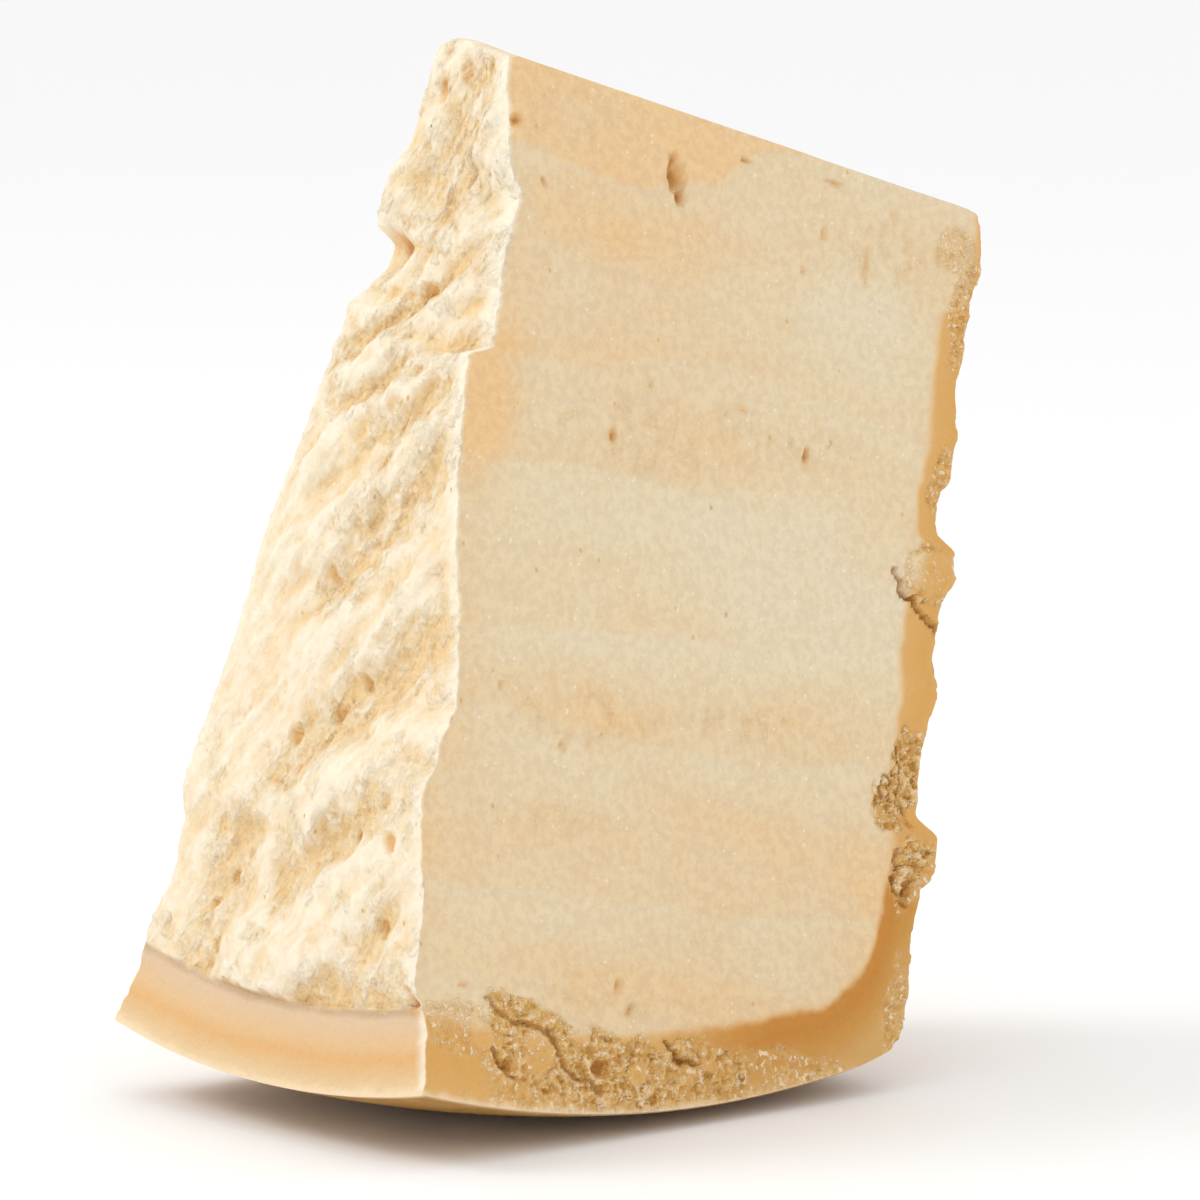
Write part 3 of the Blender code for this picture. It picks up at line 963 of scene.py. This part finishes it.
# The dried band, from the rind inwards: on the break, and on the cuts high up and low down, where it is
# darker as painted shade
BAND_COLORS = [
    (0.0, (0.80, 0.64, 0.42)), (0.06, (0.74, 0.55, 0.31)), (0.25, (0.70, 0.46, 0.22)),
    (0.42, (0.70, 0.40, 0.15)), (0.62, (0.70, 0.46, 0.23)), (0.92, (0.68, 0.49, 0.31)),
    (1.0, (0.54, 0.37, 0.21)),
]
RIND_LIGHT = [
    (0.0, (0.70, 0.41, 0.13)), (0.5, (0.66, 0.35, 0.08)), (0.88, (0.69, 0.38, 0.11)),
    (1.0, (0.75, 0.52, 0.27)),
]
RIND_SHADED = [
    (0.0, (0.62, 0.36, 0.11)), (0.35, (0.57, 0.275, 0.045)), (0.7, (0.53, 0.215, 0.016)),
    (0.9, (0.55, 0.225, 0.020)), (1.0, (0.72, 0.45, 0.18)),
]
# painted highlight on the edge just above the outer rind
RIM_HIGHLIGHT_COLOR = (0.830, 0.640, 0.410)
# The outside of the rind, which the wedge stands on: its own mottled brown, darkened as painted shade
SKIN_AND_SHADE_COLORS = [
    (0.3, (0.36, 0.17, 0.030)), (0.45, (0.47, 0.24, 0.045)), (0.6, (0.57, 0.32, 0.080)),
    (0.75, (0.64, 0.41, 0.15)),
]
SCUFF_COLOR = (0.700, 0.500, 0.250)
PIT_COLOR = (0.260, 0.120, 0.025)


def cut_paste(tree, uneven):
    """The paste where it was cut, in warmer and paler patches."""
    warm = plus(tree, attribute(tree, "tone"), times(tree, uneven, 0.35))
    return ramp(tree, warm, CUT_COLORS)


def broken_paste(tree, uneven, streaks):
    """The paste where it broke: warm and darker in the hollows, which is painted shade, and pale on the
    ridges and along the crest, which is a painted highlight.
    """
    # painted shade: the deeper the hollow, the warmer and darker the paste
    deep = from_to(tree, attribute(tree, "hollow"), -0.5, 0.7, -0.15, 0.75)
    deep = plus(tree, deep, times(tree, uneven, 0.5))
    deep = plus(tree, deep, times(tree, attribute(tree, "tone"), 0.6))
    deep = plus(tree, deep, from_to(tree, streaks, 0.35, 0.65, -0.15, 0.20))
    return blend(tree, attribute(tree, "crest"), ramp(tree, deep, BREAK_AND_SHADE_COLORS), CREST_HIGHLIGHT_COLOR)


# %% [markdown]
# Aged cheese is full of small things: brown specks, white crystals of salts that grow as it ages, and a
# fine grain. A Voronoi pattern has one middle in each of its cells, so it makes good spots once most of
# the cells are left out at random.

# %% Specks, crystals and grain
def spots(tree, here, size, share, reach, stretch=(1, 1, 1)):
    """Sparse round spots: 1 in the middle of a share of the cells of a Voronoi pattern."""
    moved = add_node(tree, "ShaderNodeMapping", {"Vector": here, "Scale": stretch}).outputs[0]
    cells = add_node(tree, "ShaderNodeTexVoronoi", {"Vector": moved, "Scale": 1 / size})
    kept = calculate(tree, "LESS_THAN", calculate(tree, "FRACT", cells.outputs["Color"]), share)
    return times(tree, kept, from_to(tree, cells.outputs["Distance"], reach / 2, reach, 1.0, 0.0))


def speckled(tree, here, speckle, paste):
    """Specks and crystals in the paste, and its fine grain."""
    specks = spots(tree, here, size=0.0034, share=0.30, reach=0.12, stretch=(1, 1, 0.7))
    crystals = times(tree, spots(tree, here, size=0.0019, share=0.35, reach=0.18), 0.5)
    paste = blend(tree, specks, paste, SPECK_COLOR)
    paste = blend(tree, crystals, paste, CRYSTAL_COLOR)
    return blend(tree, from_to(tree, speckle, 0.35, 0.65, 0.0, 0.3), paste, GRAIN_TINT, "SOFT_LIGHT")


# %% [markdown]
# Over the paste come the dried band under the rind, the crumbs, and the rind's own skin. Each function
# takes the colour so far and lays one more finish over it, where a stored mask says so. Some of these are
# painted shade and painted highlights: the band's darker low part, the crumbs' rims and gaps, the crest,
# and the darkened skin.

# %% The dried band, the crumbs and the skin
def with_dried_band(tree, uneven, paste):
    """On the cuts the band has a soft inner side; on the break it is a smooth strip of its own."""
    band = attribute(tree, "band")
    into_cut = plus(tree, band, times(tree, uneven, 0.25))
    light = ramp(tree, into_cut, RIND_LIGHT)
    # painted shade: the band on the cuts is darker low down by the flat rind
    rind = blend(tree, attribute(tree, "darker"), light, ramp(tree, into_cut, RIND_SHADED))
    on_cut = blend(tree, from_to(tree, into_cut, 0.92, 1.08, 1.0, 0.0), paste, rind)
    into_break = plus(tree, band, times(tree, uneven, 0.15))
    # painted highlight along the crest, over the band too
    smooth = blend(tree, attribute(tree, "crest"), ramp(tree, into_break, BAND_COLORS), CREST_HIGHLIGHT_COLOR)
    on_break = blend(tree, attribute(tree, "smooth_band"), paste, smooth)
    return blend(tree, attribute(tree, "broken"), on_cut, on_break)


def with_crumbs(tree, here, loose, flecks, color):
    """Crumbs with bright rims and brown between them, a painted highlight and painted shade, dark gaps of
    painted shade, and pale flecks on top.
    """
    cells = add_node(tree, "ShaderNodeTexVoronoi", {"Vector": here, "Scale": 1250.0}).outputs["Color"]
    # painted highlight on the crumbs' rims and painted shade in the hollows between them
    deep = from_to(tree, attribute(tree, "hollow"), -0.6, 0.7, -0.15, 0.80)
    crumb = ramp(tree, plus(tree, deep, times(tree, cells, 0.6)), CRUMB_AND_SHADE_COLORS)
    color = blend(tree, attribute(tree, "crumb"), color, crumb)
    among_crumbs = from_to(tree, attribute(tree, "crumb"), 0.15, 0.5)
    gaps = times(tree, from_to(tree, loose, 0.44, 0.36), among_crumbs)
    # painted shade in the gaps between the crumbs
    color = blend(tree, times(tree, gaps, 0.7), color, GAP_SHADE_COLOR)
    return blend(tree, times(tree, flecks, 0.85), color, FLECK_COLOR)


def with_skin(tree, here, pitted, color):
    """The outside of the rind: mottled, scuffed paler, and pitted darker, in colours darkened as painted
    shade.
    """
    skin = ramp(tree, noise_node(tree, here, scale=70.0, detail=8.0, roughness=0.7), SKIN_AND_SHADE_COLORS)
    scuffs = noise_node(tree, here, scale=45.0, detail=8.0, roughness=0.75, stretch=(1, 1, 2))
    skin = blend(tree, from_to(tree, scuffs, 0.58, 0.70, 0.0, 0.55), skin, SCUFF_COLOR)
    skin = blend(tree, times(tree, pitted, 0.7), skin, PIT_COLOR)
    return blend(tree, attribute(tree, "skin"), color, skin)


# %% [markdown]
# The finest relief is smaller than the mesh's faces, so it is left to a bump: grit everywhere, rough
# crumbs and thin flakes where the cheese broke, and a leathery rind with dents. One number, the height,
# adds them up.

# %% The finest relief
def surface_height(tree, here, speckle, streaks, flecks, pitted):
    """Height of grit, crumbs, flakes, and the rind's dents and pits."""
    grit = noise_node(tree, here, scale=1500.0, detail=4.0, roughness=0.65)
    cells = add_node(tree, "ShaderNodeTexVoronoi", {"Vector": here, "Scale": 900.0}).outputs["Distance"]
    rugged = calculate(tree, "MAXIMUM", attribute(tree, "grain"), attribute(tree, "crumb"))
    rough = times(tree, cells, from_to(tree, rugged, 0.0, 1.0, 0.3, 1.6))
    off_band = calculate(tree, "SUBTRACT", attribute(tree, "broken"), attribute(tree, "smooth_band"))
    flake_height = times(tree, off_band, from_to(tree, attribute(tree, "grain"), 0.0, 0.7, 0.4, 1.2))
    flakes = times(tree, from_to(tree, streaks, 0.60, 0.40), flake_height)
    dents = noise_node(tree, here, scale=160.0, detail=8.0, roughness=0.7)
    leather = calculate(tree, "SUBTRACT", times(tree, dents, 5.0), times(tree, pitted, 1.5))
    total = plus(tree, times(tree, grit, 0.4), plus(tree, rough, speckle))
    total = plus(tree, total, times(tree, leather, attribute(tree, "skin")))
    return plus(tree, total, plus(tree, flakes, times(tree, flecks, 1.1)))


# %% [markdown]
# The whole wedge is one material, because it is one cheese. A little light passes under the surface, as
# it does in real cheese, which softens the shadows between the crumbs. The rougher spots are duller.

# %% Put the material together
BUMP_DEPTH = 0.0005
SCATTER_WEIGHT = 0.08
SCATTER_DEPTH = 0.0010
SCATTER_BY_COLOR = (1.0, 0.6, 0.3)


def cheese_material():
    material = bpy.data.materials.new("aged_cheese")
    material.use_nodes = True
    tree = material.node_tree
    shader = tree.nodes["Principled BSDF"]
    here = add_node(tree, "ShaderNodeTexCoord").outputs["Object"]
    uneven = calculate(tree, "SUBTRACT", noise_node(tree, here, scale=160.0, detail=4.0, roughness=0.6), 0.5)
    speckle = noise_node(tree, here, scale=700.0, detail=3.0, roughness=0.6)
    loose = noise_node(tree, here, scale=900.0, detail=2.0, roughness=0.7)
    along_strata = {"Vector": here, "Rotation": (0, STRATA_ANGLE - math.pi / 2, 0)}
    turned = add_node(tree, "ShaderNodeMapping", along_strata).outputs[0]
    streaks = noise_node(tree, turned, scale=420.0, detail=4.0, roughness=0.6, stretch=(1, 1, 0.22))
    near_crumbs = from_to(tree, attribute(tree, "crumb"), 0.05, 0.3)
    flecks = times(tree, from_to(tree, loose, 0.54, 0.62), near_crumbs)
    pitted = spots(tree, here, size=0.0042, share=0.45, reach=0.22, stretch=(1, 1, 1.4))

    broke = broken_paste(tree, uneven, streaks)
    paste = blend(tree, attribute(tree, "broken"), cut_paste(tree, uneven), broke)
    paste = speckled(tree, here, speckle, paste)
    color = with_dried_band(tree, uneven, paste)
    color = with_crumbs(tree, here, loose, flecks, color)
    # painted highlight along the edge above the outer rind
    color = blend(tree, attribute(tree, "rim"), color, RIM_HIGHLIGHT_COLOR)
    # the skin's colours are darkened as painted shade
    color = with_skin(tree, here, pitted, color)
    color = blend(tree, attribute(tree, "amber"), color, AMBER_COLOR)
    # painted shade in the cracks and the deepest holes
    color = blend(tree, attribute(tree, "dark"), color, CRACK_SHADE_COLOR)
    tree.links.new(color, shader.inputs["Base Color"])
    tree.links.new(from_to(tree, speckle, 0.3, 0.7, 0.45, 0.65), shader.inputs["Roughness"])
    shader.inputs["Subsurface Weight"].default_value = SCATTER_WEIGHT
    shader.inputs["Subsurface Radius"].default_value = SCATTER_BY_COLOR
    shader.inputs["Subsurface Scale"].default_value = SCATTER_DEPTH

    relief_height = surface_height(tree, here, speckle, streaks, flecks, pitted)
    bump = {"Strength": 0.6, "Distance": BUMP_DEPTH, "Height": relief_height}
    tree.links.new(add_node(tree, "ShaderNodeBump", bump).outputs["Normal"], shader.inputs["Normal"])
    return material


mesh.materials.append(cheese_material())
print("material:", len(mesh.materials[0].node_tree.nodes), "nodes")

# %% [markdown]
# The faces are shaded smooth, except over edges sharper than a small angle, which keeps the flakes and
# crumbs crisp. Then the wedge is handed over: it is part of the body that doesn't move, and it replaces
# the plain solid.

# %% Hand over
SHARP_ANGLE = math.radians(24)

bpy.ops.object.shade_smooth_by_angle(angle=SHARP_ANGLE)
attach(wedge, "root")
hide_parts("cheese_wedge")
